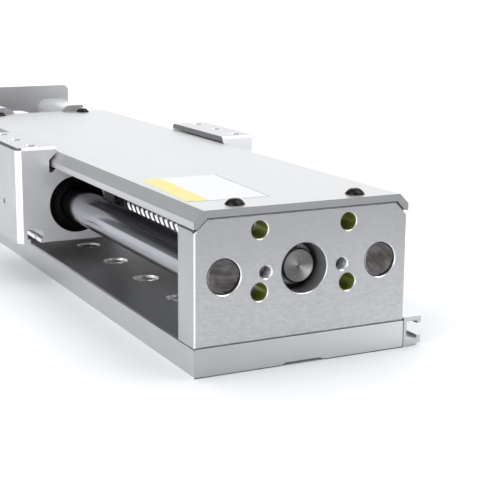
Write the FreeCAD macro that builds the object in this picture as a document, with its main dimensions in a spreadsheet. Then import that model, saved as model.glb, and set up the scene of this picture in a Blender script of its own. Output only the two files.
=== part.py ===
import FreeCAD, Part
import Sketcher
import math
import os
import re

# Ball screw slide stage. Lengths in millimetres. X runs across the stage, Y along the travel,
# Z up. The origin is the middle of the base plate's underside, and the drive end faces +Y.

SIZES = {
    # Base plate, with a shallow groove along its underside
    "base_width": 80,
    "base_length": 286,
    "base_thick": 10,
    "base_edge": 0.5,
    "groove_deep": 1,
    "groove_roof": 13.2,
    "groove_mouth": 18,
    "base_hole_spread": 36,
    "base_hole_pitch": 33,
    "base_hole_bore": 5.5,
    "base_sink": 10.5,
    # End blocks
    "block_thick": 12.5,
    "block_high": 42.4,
    "block_shoulder": 4.3,
    "block_edge": 0.4,
    "axis_rise": 22.7,
    "front_bore": 17,
    "face_hole_spread": 33.4,
    "face_hole_rise": 14.3,
    "face_hole_drop": 6.4,
    "face_hole_bore": 6,
    "bracket_hole_bore": 5.5,
    "face_sink_bore": 8.8,
    "face_sink_deep": 3.8,
    "rim": 0.3,
    "pair_spread": 28.8,
    "pair_bore": 4.2,
    "pair_deep": 5,
    "pair_rim": 0.4,
    "relief_deep": 0.3,
    "relief_long": 1.5,
    # Guide shafts, with thinner ends in the blocks
    "shaft_dia": 14,
    "shaft_end_dia": 12,
    "shaft_inset": 10.5,
    "shaft_recess": 0.3,
    "shaft_edge": 0.5,
    # Ball screw, its journals and bearings
    "screw_dia": 16,
    "screw_recess": 3.9,
    "journal_dia": 12,
    "journal_edge": 0.5,
    "centre_dia": 1.2,
    "drive_dia": 8,
    "drive_long": 10,
    "bearing_dia": 21,
    "bearing_wide": 5,
    "bearing_inner": 15,
    "bearing_edge": 0.3,
    "locknut_dia": 21,
    "locknut_wide": 5,
    "locknut_nose": 5,
    "locknut_slot": 3,
    # Top cover
    "cover_thick": 2.5,
    "cover_lap": 0.25,
    "cover_lip_cut": 1.2,
    "cover_overhang": 0.3,
    "cover_screw_spread": 45.4,
    "cover_hole_bore": 4.5,
    # Carriage
    "pad_overhang": 15.2,
    "pad_lap": 1.8,
    "carriage_long": 54.5,
    "carriage_front": 140.5,
    "carriage_drop": 15.2,
    "carriage_rise": 24.6,
    "carriage_corner": 2.2,
    "carriage_edge": 1,
    "cover_gap": 1.1,
    "under_gap": 1,
    "tslot_inset": 7.2,
    "tslot_mouth": 4.4,
    "tslot_lip": 1.7,
    "tslot_wide": 6.9,
    "tslot_deep": 5.8,
    "pad_hole_inset": 7.7,
    "pad_hole_pitch": 20,
    "pad_hole_bore": 4.2,
    "pad_hole_deep": 12,
    "flag_hole_pitch": 15,
    "flag_hole_bore": 2.5,
    "flag_hole_deep": 6,
    # Linear bushings and their wiper seals
    "bush_dia": 22,
    "bush_gap": 2,
    "bush_groove": 0.5,
    "bush_edge": 1,
    "seal_dia": 24,
    "seal_thick": 3,
    "seal_lip": 0.8,
    # Ball nut
    "nut_dia": 26,
    "nut_long": 44,
    "flange_thick": 8,
    "flange_wide": 32,
    "flange_high": 30,
    "flange_corner": 2.5,
    "flange_room": 0.3,
    "nut_screw_spread": 23.6,
    "nut_screw_rise": 21.6,
    # Motor bracket
    "bracket_long": 40,
    "bracket_wide": 50,
    "bracket_bay": 24.4,
    "bracket_drop": 24.8,
    "bracket_rise": 25.3,
    "bracket_round": 6,
    "web_thick": 4,
    "web_rise": 15,
    "plate_wide": 61,
    "plate_high": 65,
    "plate_thick": 8,
    "plate_corner": 3,
    "motor_register": 38.1,
    "motor_hole_spread": 47.14,
    "motor_hole_bore": 4.2,
    # Jaw coupling
    "hub_dia": 20,
    "hub_long": 10.5,
    "jaw_count": 3,
    "hub_start": 11,
    "jaw_long": 4,
    "jaw_angle": 36,
    "leg_angle": 22,
    "jaw_root": 9,
    "clamp_slit": 1,
    # Sensor rail on the right side
    "rail_deep": 7.4,
    "rail_wall": 1.5,
    "rail_foot": 0.15,
    "rail_heel": 1.1,
    "rail_floor": 2.8,
    "rail_low_lip": 3.9,
    "rail_high_lip": 8.1,
    "rail_roof": 9.2,
    "rail_top": 10.8,
    "rail_screw_inset": 11,
    "rail_screw_count": 5,
    "rail_screw_height": 6,
    # Screws
    "block_screw_dia": 5,
    "block_screw_long": 16,
    "block_screw_head": 8.5,
    "block_screw_high": 5,
    "block_screw_spread": 40,
    "bracket_screw_dia": 5,
    "bracket_screw_long": 25,
    "bracket_screw_head": 8.5,
    "bracket_screw_high": 3.5,
    "cover_screw_dia": 4,
    "cover_screw_long": 8,
    "cover_screw_head": 6.8,
    "cover_screw_high": 1.8,
    "nut_screw_dia": 3,
    "nut_screw_long": 12,
    "nut_screw_head": 5.5,
    "nut_screw_high": 3,
    "set_screw_dia": 4,
    "set_screw_long": 6,
    "rail_screw_dia": 2,
    "rail_screw_long": 6,
    "rail_screw_head": 3.8,
    "clamp_screw_dia": 2.5,
    "clamp_screw_long": 12,
    "clamp_screw_offset": 7,
    "cover_socket": 2.5,
    "cover_socket_deep": 1.3,
    "cap_socket": 3,
    "cap_socket_deep": 2,
    # Clearances
    "fit": 0.02,
    "run_fit": 0.05,
    "head_room": 0.2,
    "tap_room": 1,
    "overrun": 1,
}

doc = FreeCAD.newDocument("slide_stage")
sheet = doc.addObject("Spreadsheet::Sheet", "Sizes")
for row, (alias, size) in enumerate(SIZES.items(), 1):
    sheet.set("A%d" % row, alias)
    sheet.set("B%d" % row, str(size))
    sheet.setAlias("B%d" % row, alias)
doc.recompute()


def linked(formula):
    """A formula of size names, written so that the document follows the sheet."""
    def name(word):
        return "Sizes." + word.group() if word.group() in SIZES else word.group()

    return re.sub(r"[a-z]\w*", name, formula)


def number(formula):
    """The value that a formula of size names has now."""
    return float(sheet.evalExpression(linked(formula)))


def bind(thing, prop, formula):
    thing.setExpression(prop, linked(formula))


def origin_item(body, role):
    return [item for item in body.Origin.OriginFeatures if item.Role == role][0]


# Heights and stations that several pieces share
AXIS = "(base_thick + axis_rise)"
BLOCK_TOP = "(block_high - axis_rise)"
END = "(base_length / 2)"
BLOCK_Y = "(base_length / 2 - block_thick / 2)"
CARRIAGE_Y = "(carriage_front + carriage_long / 2 - base_length / 2)"
CARRIAGE_SIDE = "(base_width / 2 + pad_overhang)"
SHAFT_X = "(base_width / 2 - shaft_inset)"
BUSH_LONG = "((carriage_long - bush_gap) / 2 - seal_thick)"


def along(y_formula):
    """Placement on the screw's axis at a station along the stage."""
    return FreeCAD.Placement(FreeCAD.Vector(0, number(y_formula), number(AXIS)), FreeCAD.Rotation())


# Sketch and feature helpers

def new_body(label):
    body = doc.addObject("PartDesign::Body", label)
    body.Label = label
    return body


def new_sketch(body, name, role, offset="0"):
    """Empty sketch on one of the body's origin planes, moved along the plane's normal."""
    sketch = body.newObject("Sketcher::SketchObject", name)
    sketch.AttachmentSupport = [(origin_item(body, role), "")]
    sketch.MapMode = "FlatFace"
    bind(sketch, ".AttachmentOffset.Base.z", offset)
    return sketch


def pin_point(sketch, shape, which, x, y):
    for kind, formula in (("DistanceX", x), ("DistanceY", y)):
        index = sketch.addConstraint(Sketcher.Constraint(kind, -1, 1, shape, which, number(formula)))
        sketch.setExpression("Constraints[%d]" % index, linked(formula))


def outline(sketch, corners):
    """Closed outline whose corners are pairs of formulas."""
    points = [FreeCAD.Vector(number(x), number(y), 0) for x, y in corners]
    first = sketch.GeometryCount
    for index, point in enumerate(points):
        sketch.addGeometry(Part.LineSegment(point, points[(index + 1) % len(points)]), False)
    for index, (x, y) in enumerate(corners):
        following = first + (index + 1) % len(points)
        sketch.addConstraint(Sketcher.Constraint("Coincident", first + index, 2, following, 1))
        pin_point(sketch, first + index, 1, x, y)


def circle(sketch, x, y, radius):
    centre = FreeCAD.Vector(number(x), number(y), 0)
    index = sketch.addGeometry(Part.Circle(centre, FreeCAD.Vector(0, 0, 1), number(radius)), False)
    pin_point(sketch, index, 3, x, y)
    size = sketch.addConstraint(Sketcher.Constraint("Radius", index, number(radius)))
    sketch.setExpression("Constraints[%d]" % size, linked(radius))


def pad(body, name, sketch, length, middle=False, reverse=False):
    feature = body.newObject("PartDesign::Pad", name)
    feature.Profile = sketch
    bind(feature, "Length", length)
    feature.Midplane = middle
    feature.Reversed = reverse
    doc.recompute()
    return feature


def pocket(body, name, sketch, depth=None, reverse=False):
    """Cut a sketch into the body, through it where no depth is given."""
    before = body.Shape.Volume
    feature = body.newObject("PartDesign::Pocket", name)
    feature.Profile = sketch
    if depth is None:
        feature.Type = "ThroughAll"
    else:
        bind(feature, "Length", depth)
    feature.Reversed = reverse
    doc.recompute()
    if body.Shape.Volume >= before:
        raise ValueError("%s of %s cuts nothing" % (name, body.Label))
    return feature


def drill(body, name, role, offset, places, radius, depth=None, reverse=False):
    """Round holes of one radius, from a plane of the body."""
    sketch = new_sketch(body, name + "_places", role, offset)
    for x, y in places:
        circle(sketch, x, y, radius)
    return pocket(body, name, sketch, depth, reverse)


def dress(body, kind, name, prop, size, wanted):
    """Chamfer or fillet on the edges of the body that a test picks."""
    base = body.Tip
    names = ["Edge%d" % (n + 1) for n, edge in enumerate(base.Shape.Edges) if wanted(edge)]
    feature = body.newObject("PartDesign::" + kind, name)
    feature.Base = (base, names)
    bind(feature, prop, size)
    doc.recompute()
    return feature


def bevel(body, name, size, wanted):
    return dress(body, "Chamfer", name, "Size", size, wanted)


def is_line(edge):
    return isinstance(edge.Curve, Part.Line)


def is_round(edge, radius):
    return isinstance(edge.Curve, Part.Circle) and abs(edge.Curve.Radius - radius) < 1e-4


def at(edge, axis, place):
    """Whether the whole edge lies at one place along an axis."""
    box = edge.BoundBox
    low, high = {"x": (box.XMin, box.XMax), "y": (box.YMin, box.YMax), "z": (box.ZMin, box.ZMax)}[axis]
    return abs(low - place) < 1e-4 and abs(high - place) < 1e-4


def turned(label, profile):
    """Piece turned about the Y axis from corners given as station and radius."""
    body = new_body(label)
    sketch = new_sketch(body, "profile", "YZ_Plane")
    outline(sketch, profile)
    feature = body.newObject("PartDesign::Revolution", "turning")
    feature.Profile = sketch
    feature.ReferenceAxis = (sketch, ["H_Axis"])
    feature.Angle = 360
    doc.recompute()
    return body


def mirrored(corners):
    """Corners of a right half from bottom to top, with the left half added."""
    return corners + [("-(%s)" % x, y) for x, y in reversed(corners)]


def four(x, y):
    return [(x, y), ("-(%s)" % x, y), ("-(%s)" % x, "-(%s)" % y), (x, "-(%s)" % y)]


def pair(x, y):
    return [(x, y), ("-(%s)" % x, y)]


# Fasteners: each group is one node of separate solids

def screw_solid(shank, long, head=0, high=0, socket=0, socket_deep=0, dome=False, flush=False):
    """Screw along +Z with its head's seat, or a flush head's top, at the origin."""
    solid = Part.makeCylinder(shank / 2, long, FreeCAD.Vector(0, 0, -long))
    if flush:
        slope = (head - shank) / 2
        return solid.fuse(Part.makeCone(shank / 2, head / 2, slope, FreeCAD.Vector(0, 0, -slope)))
    if head:
        cap = Part.makeCylinder(head / 2, high)
        if dome:
            radius = (head * head / 4 + high * high) / (2 * high)
            ball = Part.makeSphere(radius, FreeCAD.Vector(0, 0, high - radius))
            cap = cap.common(ball)
        solid = solid.fuse(cap)
    if socket:
        corner = socket / math.sqrt(3)
        turn = [math.radians(60 * step) for step in range(7)]
        ring = [FreeCAD.Vector(corner * math.cos(a), corner * math.sin(a), high) for a in turn]
        hexagon = Part.Face(Part.makePolygon(ring)).extrude(FreeCAD.Vector(0, 0, -socket_deep))
        solid = solid.cut(hexagon)
    return solid.removeSplitter()


def group(label, solid, places, direction):
    """Copies of one solid whose own +Z is turned to a direction."""
    turn = FreeCAD.Rotation(FreeCAD.Vector(0, 0, 1), FreeCAD.Vector(*direction))
    copies = []
    for x, y, z in places:
        spot = FreeCAD.Placement(FreeCAD.Vector(number(x), number(y), number(z)), turn)
        copies.append(solid.transformed(spot.toMatrix()))
    feature = doc.addObject("Part::Feature", label)
    feature.Label = label
    feature.Shape = Part.makeCompound(copies)
    return feature


def row_of(pitch, count):
    """Formulas of the places of a row that is centred on the stage."""
    return ["%s * (%d - (%s - 1) / 2)" % (pitch, n, count) for n in range(round(number(count)))]


# Places that a piece and the screws in it share
BASE_HOLE_COUNT = "(floor((base_length - 2 * block_thick - base_sink) / base_hole_pitch) + 1)"
RAIL_PITCH = "((base_length - 2 * rail_screw_inset) / (rail_screw_count - 1))"
BASE_ROWS = row_of("base_hole_pitch", BASE_HOLE_COUNT)
RAIL_ROWS = row_of(RAIL_PITCH, "rail_screw_count")
FACE_HOLES = pair("face_hole_spread / 2", "face_hole_rise") + pair("face_hole_spread / 2", "-face_hole_drop")
NUT_SCREWS = four("nut_screw_spread / 2", "nut_screw_rise / 2")


def base_plate():
    body = new_body("base_plate")
    sketch = new_sketch(body, "profile", "XZ_Plane")
    outline(sketch, mirrored([
        ("groove_roof / 2", "groove_deep"),
        ("groove_mouth / 2", "0"),
        ("base_width / 2", "0"),
        ("base_width / 2", "base_thick - base_edge"),
        ("base_width / 2 - base_edge", "base_thick"),
    ]))
    pad(body, "plate", sketch, "base_length", middle=True)

    holes = new_sketch(body, "hole_places", "XY_Plane", "base_thick")
    for row in BASE_ROWS:
        for x, y in pair("base_hole_spread / 2", row):
            circle(holes, x, y, "base_hole_bore / 2")
    doc.recompute()
    before = body.Shape.Volume
    hole = body.newObject("PartDesign::Hole", "sunk_holes")
    hole.Profile = holes
    hole.ThreadType = "None"
    hole.DepthType = "ThroughAll"
    hole.HoleCutType = "Countersink"
    hole.HoleCutCustomValues = True
    bind(hole, "Diameter", "base_hole_bore")
    bind(hole, "HoleCutDiameter", "base_sink")
    doc.recompute()
    if body.Shape.Volume >= before:
        raise ValueError("the base holes cut nothing")

    spots = pair("block_screw_spread / 2", BLOCK_Y) + pair("block_screw_spread / 2", "-" + BLOCK_Y)
    drill(body, "block_screw_holes", "XY_Plane", "0", spots, "block_screw_dia / 2 + head_room", reverse=True)
    drill(body, "block_screw_sinks", "XY_Plane", "0", spots, "block_screw_head / 2 + head_room",
          "block_screw_high + head_room", reverse=True)
    side = [(row, "rail_screw_height") for row in RAIL_ROWS]
    drill(body, "rail_screw_holes", "YZ_Plane", "base_width / 2", side, "rail_screw_dia / 2 + fit",
          "rail_screw_long")
    return body


def end_block(label, side):
    """End block on the screw's axis. side is -1 at the near end and 1 at the drive end."""
    body = new_body(label)
    outer = "%d * block_thick / 2" % -side
    inner = "%d * block_thick / 2" % side
    inward = side < 0
    sketch = new_sketch(body, "profile", "XZ_Plane")
    outline(sketch, mirrored([
        ("base_width / 2", "-axis_rise"),
        ("base_width / 2", BLOCK_TOP + " - block_shoulder"),
        ("base_width / 2 - block_shoulder", BLOCK_TOP),
    ]))
    pad(body, "block", sketch, "block_thick", middle=True)
    shaft_bore = "shaft_end_dia / 2 + fit"
    drill(body, "shaft_bores", "XZ_Plane", outer, pair(SHAFT_X, "0"), shaft_bore, reverse=not inward)
    drill(body, "front_bore_cut", "XZ_Plane", outer, [("0", "0")], "front_bore / 2", reverse=not inward)
    seat, seat_deep = (inner, "bearing_wide") if side < 0 else (outer, "2 * bearing_wide")
    drill(body, "bearing_seat", "XZ_Plane", seat, [("0", "0")], "bearing_dia / 2 + fit", seat_deep,
          reverse=True)
    face_hole = "face_hole_bore / 2" if inward else "bracket_hole_bore / 2"
    drill(body, "face_holes", "XZ_Plane", outer, FACE_HOLES, face_hole, reverse=not inward)
    drill(body, "face_sinks", "XZ_Plane", inner, FACE_HOLES, "face_sink_bore / 2", "face_sink_deep",
          reverse=inward)
    if inward:
        drill(body, "thread_pair", "XZ_Plane", outer, pair("pair_spread / 2", "0"), "pair_bore / 2",
              "pair_deep")
    drill(body, "cover_screw_holes", "XY_Plane", BLOCK_TOP, pair("cover_screw_spread / 2", "0"),
          "cover_screw_dia / 2 + fit", "cover_screw_long - cover_thick + tap_room")
    drill(body, "block_screw_holes", "XY_Plane", "-axis_rise", pair("block_screw_spread / 2", "0"),
          "block_screw_dia / 2 + fit",
          "block_screw_long + block_screw_high + head_room - base_thick + tap_room", reverse=True)
    drill(body, "set_screw_holes", "XY_Plane", "-axis_rise", pair(SHAFT_X, "0"),
          "set_screw_dia / 2 + fit", "axis_rise", reverse=True)
    relief = new_sketch(body, "relief_outline", "XZ_Plane", outer)
    ledge = BLOCK_TOP + " - relief_deep"
    slope = "%s - block_shoulder - relief_deep * sqrt(2)" % BLOCK_TOP
    beyond = "base_width / 2 + overrun"
    outline(relief, mirrored([
        ("base_width / 2 - block_shoulder - relief_deep * (sqrt(2) - 1)", ledge),
        ("base_width / 2", slope),
        (beyond, slope),
        (beyond, BLOCK_TOP + " + overrun"),
    ]))
    pocket(body, "cover_relief", relief, "relief_long", reverse=not inward)

    face = number(outer) * -1
    bevel(body, "outer_edges", "block_edge", lambda edge: is_line(edge) and at(edge, "y", face))
    rims = (number(face_hole), number(shaft_bore), number("front_bore / 2"))
    bevel(body, "rims", "rim", lambda edge: at(edge, "y", face) and any(is_round(edge, r) for r in rims))
    if inward:
        thread = number("pair_bore / 2")
        bevel(body, "thread_rims", "pair_rim", lambda edge: at(edge, "y", face) and is_round(edge, thread))
    body.Placement = along("%d * %s" % (side, BLOCK_Y))
    return body


def guide_shaft(label, side):
    half = "(base_length / 2 - shaft_recess)"
    shoulder = "(base_length / 2 - block_thick)"
    body = turned(label, [
        ("-" + half, "0"),
        ("-" + half, "shaft_end_dia / 2 - shaft_edge"),
        ("-" + half + " + shaft_edge", "shaft_end_dia / 2"),
        ("-" + shoulder, "shaft_end_dia / 2"),
        ("-" + shoulder, "shaft_dia / 2"),
        (shoulder, "shaft_dia / 2"),
        (shoulder, "shaft_end_dia / 2"),
        (half + " - shaft_edge", "shaft_end_dia / 2"),
        (half, "shaft_end_dia / 2 - shaft_edge"),
        (half, "0"),
    ])
    body.Placement = along("0")
    body.Placement.Base.x = number("%d * %s" % (side, SHAFT_X))
    return body


def top_cover():
    """Folded cover, flush with the drive end: its flanges at 45 degrees wrap over the blocks' shoulders."""
    body = new_body("top_cover")
    sketch = new_sketch(body, "profile", "XZ_Plane")
    crease = "base_width / 2 - block_shoulder"
    side = "base_width / 2 + cover_lap"
    spread = "cover_thick * (sqrt(2) - 1)"
    outline(sketch, mirrored([
        (crease, "0"),
        (side + " - cover_lip_cut", "cover_lip_cut - block_shoulder - cover_lap"),
        (side, "cover_lip_cut - block_shoulder - cover_lap"),
        (side, "cover_thick * sqrt(2) - block_shoulder - cover_lap"),
        (crease + " + " + spread, "cover_thick"),
    ]))
    pad(body, "sheet", sketch, "base_length", middle=True)
    near = "-%s + cover_overhang" % BLOCK_Y
    far = BLOCK_Y + " + cover_overhang"
    spots = pair("cover_screw_spread / 2", near) + pair("cover_screw_spread / 2", far)
    drill(body, "screw_holes", "XY_Plane", "cover_thick", spots, "cover_hole_bore / 2")
    body.Placement.Base = FreeCAD.Vector(0, number("-cover_overhang"), number("base_thick + block_high"))
    return body


def sensor_rail():
    """Slotted rail along the base's right side, open outwards."""
    body = new_body("sensor_rail")
    sketch = new_sketch(body, "profile", "XZ_Plane")
    lip = "rail_deep - rail_wall"
    outline(sketch, [
        ("0", "rail_foot"),
        ("rail_wall", "rail_foot"),
        ("rail_deep", "rail_heel"),
        ("rail_deep", "rail_low_lip"),
        (lip, "rail_low_lip"),
        (lip, "rail_floor"),
        ("rail_wall", "rail_floor"),
        ("rail_wall", "rail_roof"),
        (lip, "rail_roof"),
        (lip, "rail_high_lip"),
        ("rail_deep", "rail_high_lip"),
        ("rail_deep", "rail_top"),
        ("0", "rail_top"),
    ])
    pad(body, "rail", sketch, "base_length", middle=True)
    sunk = new_sketch(body, "screw_places", "YZ_Plane", "rail_wall")
    for row in RAIL_ROWS:
        circle(sunk, row, "rail_screw_height", "rail_screw_dia / 2 + fit")
    doc.recompute()
    hole = body.newObject("PartDesign::Hole", "screw_holes")
    hole.Profile = sunk
    hole.ThreadType = "None"
    hole.DepthType = "ThroughAll"
    hole.HoleCutType = "Countersink"
    hole.HoleCutCustomValues = True
    bind(hole, "Diameter", "rail_screw_dia + 2 * fit")
    bind(hole, "HoleCutDiameter", "rail_screw_head + 2 * fit")
    doc.recompute()
    body.Placement.Base.x = number("base_width / 2")
    return body


def carriage_body():
    """Carriage extrusion: it wraps under the cover, with a pad at each side and a slot in each pad's foot."""
    body = new_body("carriage_body")
    half = CARRIAGE_SIDE
    slot = half + " - tslot_inset"
    foot = "-carriage_drop"
    pad_edge = "(base_width / 2 - pad_lap)"
    wall = "(base_width / 2 + cover_lap + cover_gap)"
    crease = "base_width / 2 - block_shoulder + " + BLOCK_TOP
    outer_slope = "(%s + (cover_thick + cover_gap) * sqrt(2))" % crease
    inner_slope = "(%s - under_gap * sqrt(2))" % crease
    slot_floor = "(%s - block_shoulder - cover_lap - cover_gap)" % BLOCK_TOP
    shelf = "(%s - under_gap)" % BLOCK_TOP
    sketch = new_sketch(body, "profile", "XZ_Plane")
    outline(sketch, mirrored([
        (slot + " - tslot_mouth / 2", foot),
        (slot + " - tslot_mouth / 2", foot + " + tslot_lip"),
        (slot + " - tslot_wide / 2", foot + " + tslot_lip"),
        (slot + " - tslot_wide / 2", foot + " + tslot_deep"),
        (slot + " + tslot_wide / 2", foot + " + tslot_deep"),
        (slot + " + tslot_wide / 2", foot + " + tslot_lip"),
        (slot + " + tslot_mouth / 2", foot + " + tslot_lip"),
        (slot + " + tslot_mouth / 2", foot),
        (half, foot),
        (half, "carriage_rise"),
        (pad_edge, "carriage_rise"),
        (pad_edge, outer_slope + " - " + pad_edge),
        (wall, outer_slope + " - " + wall),
        (wall, slot_floor),
        (inner_slope + " - " + slot_floor, slot_floor),
        (inner_slope + " - " + shelf, shelf),
    ]))
    pad(body, "extrusion", sketch, "carriage_long", middle=True)

    front = "carriage_long / 2"
    back = "-carriage_long / 2"
    guides = pair(SHAFT_X, "0")
    drill(body, "bush_bores", "XZ_Plane", front, guides, "bush_dia / 2 + fit")
    drill(body, "front_seal_seats", "XZ_Plane", front, guides, "seal_dia / 2 + fit", "seal_thick")
    drill(body, "back_seal_seats", "XZ_Plane", back, guides, "seal_dia / 2 + fit", "seal_thick", reverse=True)
    drill(body, "nut_bore", "XZ_Plane", front, [("0", "0")], "nut_dia / 2 + fit")
    recess = new_sketch(body, "flange_outline", "XZ_Plane", back)
    reach = "(flange_wide / 2 + flange_room)"
    roof = "(flange_high / 2 + flange_room)"
    cut = "flange_corner"
    outline(recess, mirrored([
        (reach, "-carriage_drop - overrun"),
        (reach, roof + " - " + cut),
        (reach + " - " + cut, roof),
    ]))
    pocket(body, "flange_recess", recess, "flange_thick", reverse=True)
    drill(body, "nut_screw_holes", "XZ_Plane", "-carriage_long / 2 + flange_thick", NUT_SCREWS,
          "nut_screw_dia / 2 + fit", "nut_screw_long - flange_thick + nut_screw_high + head_room + tap_room",
          reverse=True)
    spots = []
    for row in ("-pad_hole_pitch", "0", "pad_hole_pitch"):
        spots += pair(half + " - pad_hole_inset", row)
    drill(body, "pad_holes", "XY_Plane", "carriage_rise", spots, "pad_hole_bore / 2", "pad_hole_deep")
    flags = pair("flag_hole_pitch / 2", "0")
    drill(body, "right_flag_holes", "YZ_Plane", half, flags, "flag_hole_bore / 2", "flag_hole_deep")
    drill(body, "left_flag_holes", "YZ_Plane", "-" + half, flags, "flag_hole_bore / 2", "flag_hole_deep",
          reverse=True)

    side = number(half)
    end = number(front)
    top = number("carriage_rise")
    inner = number(pad_edge)
    thread = number("pad_hole_bore / 2")

    def upright(edge):
        centre = edge.BoundBox.Center
        return is_line(edge) and edge.BoundBox.ZLength > 1 and abs(abs(centre.x) - side) < 1e-4 \
            and abs(abs(centre.y) - end) < 1e-4

    def pad_rim(edge):
        return is_line(edge) and at(edge, "z", top) and abs(abs(edge.BoundBox.Center.x) - inner) > 1e-4

    bevel(body, "corners", "carriage_corner", upright)
    bevel(body, "pad_edges", "carriage_edge", pad_rim)
    bevel(body, "pad_hole_rims", "pair_rim", lambda edge: at(edge, "z", top) and is_round(edge, thread))
    body.Placement = along(CARRIAGE_Y)
    return body


def bushing(label, side, end):
    """Linear bushing with tapered ends. end is -1 at the front and 1 at the back of the carriage."""
    half = "%s / 2" % BUSH_LONG
    groove = "bush_dia / 2 - bush_groove"
    bore = "shaft_dia / 2 + fit"
    body = turned(label, [
        ("-" + half, bore),
        ("-" + half, groove),
        ("-%s + bush_edge" % half, "bush_dia / 2"),
        (half + " - bush_edge", "bush_dia / 2"),
        (half, groove),
        (half, bore),
    ])
    body.Placement = along("%s + %d * (carriage_long / 2 - seal_thick - %s)" % (CARRIAGE_Y, end, half))
    body.Placement.Base.x = number("%d * %s" % (side, SHAFT_X))
    return body


def wiper_seal(label, side, end):
    """Rubber wiper ring with a stepped lip that faces out of the carriage."""
    bore = "shaft_dia / 2 + run_fit"
    near = "%d * seal_thick / 2" % end
    far = "%d * seal_thick / 2" % -end
    step = "%d * (seal_thick / 2 - seal_lip)" % end
    body = turned(label, [
        (far, bore),
        (far, "seal_dia / 2"),
        (near, "seal_dia / 2"),
        (near, "seal_dia / 2 - seal_lip"),
        (step, "seal_dia / 2 - 2 * seal_lip"),
        (step, "shaft_dia / 2 + 2 * seal_lip"),
        (near, bore + " + seal_lip / 2"),
        (near, bore),
    ])
    body.Placement = along("%s + %d * (carriage_long / 2 - seal_thick / 2)" % (CARRIAGE_Y, end))
    body.Placement.Base.x = number("%d * %s" % (side, SHAFT_X))
    return body


def ball_nut():
    """Ball nut with a cut flange at its back. Local Y is 0 at the flange's outer face."""
    body = new_body("ball_nut")
    barrel = new_sketch(body, "barrel_outline", "XZ_Plane")
    circle(barrel, "0", "0", "nut_dia / 2")
    pad(body, "barrel", barrel, "nut_long")
    plate = new_sketch(body, "flange_outline", "XZ_Plane")
    wide = "flange_wide / 2"
    high = "flange_high / 2"
    outline(plate, mirrored([
        (wide + " - flange_corner", "-" + high),
        (wide, "-%s + flange_corner" % high),
        (wide, high + " - flange_corner"),
        (wide + " - flange_corner", high),
    ]))
    pad(body, "flange", plate, "flange_thick")
    drill(body, "bore", "XZ_Plane", "0", [("0", "0")], "screw_dia / 2 + run_fit", reverse=True)
    drill(body, "screw_holes", "XZ_Plane", "0", NUT_SCREWS, "nut_screw_dia / 2 + head_room", reverse=True)
    drill(body, "screw_sinks", "XZ_Plane", "0", NUT_SCREWS, "nut_screw_head / 2 + head_room",
          "nut_screw_high + head_room", reverse=True)
    body.Placement = along(CARRIAGE_Y + " + carriage_long / 2")
    return body


# Stations along the ball screw, from the near end to the drive end
NEAR_SHOULDER = "(-base_length / 2 + block_thick)"
FAR_SHOULDER = "(base_length / 2 - 2 * bearing_wide)"
NUT_END = "(base_length / 2 + locknut_nose + locknut_wide)"
HUB_START = "(base_length / 2 + hub_start)"
SPIDER_START = "(base_length / 2 + hub_start + hub_long)"
FAR_HUB_START = "(base_length / 2 + hub_start + hub_long + jaw_long)"


def ball_screw():
    start = "(-base_length / 2 + screw_recess)"
    stop = "(base_length / 2 + hub_start + drive_long)"
    journal = "journal_dia / 2 - fit / 2"
    drive = "drive_dia / 2"
    body = turned("ball_screw", [
        (start + " + centre_dia / 2", "0"),
        (start, "centre_dia / 2"),
        (start, journal + " - journal_edge"),
        (start + " + journal_edge", journal),
        (NEAR_SHOULDER, journal),
        (NEAR_SHOULDER, "screw_dia / 2"),
        (FAR_SHOULDER, "screw_dia / 2"),
        (FAR_SHOULDER, journal),
        (NUT_END, journal),
        (NUT_END, drive),
        (stop + " - journal_edge", drive),
        (stop, drive + " - journal_edge"),
        (stop, "0"),
    ])
    body.Placement = along("0")
    return body


def ring(label, inner, outer, start, count=1):
    """Bearing ring, or a row of them side by side, with broken outer corners."""
    rings = []
    for index in range(count):
        low = number("%s + %d * bearing_wide" % (start, index))
        wide = number("bearing_wide")
        edge = number("bearing_edge")
        small = number(inner)
        large = number(outer)
        corners = [(low, small), (low, large - edge), (low + edge, large), (low + wide - edge, large),
                   (low + wide, large - edge), (low + wide, small)]
        points = [FreeCAD.Vector(0, y, r) for y, r in corners + corners[:1]]
        face = Part.Face(Part.makePolygon(points))
        rings.append(face.revolve(FreeCAD.Vector(0, 0, 0), FreeCAD.Vector(0, 1, 0), 360))
    feature = doc.addObject("Part::Feature", label)
    feature.Label = label
    feature.Shape = Part.makeCompound(rings) if count > 1 else rings[0]
    feature.Placement = along("0")
    return feature


def bearings():
    inner = ("journal_dia / 2", "bearing_inner / 2")
    outer = ("bearing_inner / 2 + run_fit", "bearing_dia / 2")
    near = NEAR_SHOULDER + " - bearing_wide"
    ring("near_bearing_inner_ring", *inner, near)
    ring("near_bearing_outer_ring", *outer, near)
    ring("far_bearing_inner_rings", *inner, FAR_SHOULDER, 2)
    ring("far_bearing_outer_rings", *outer, FAR_SHOULDER, 2)


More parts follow.
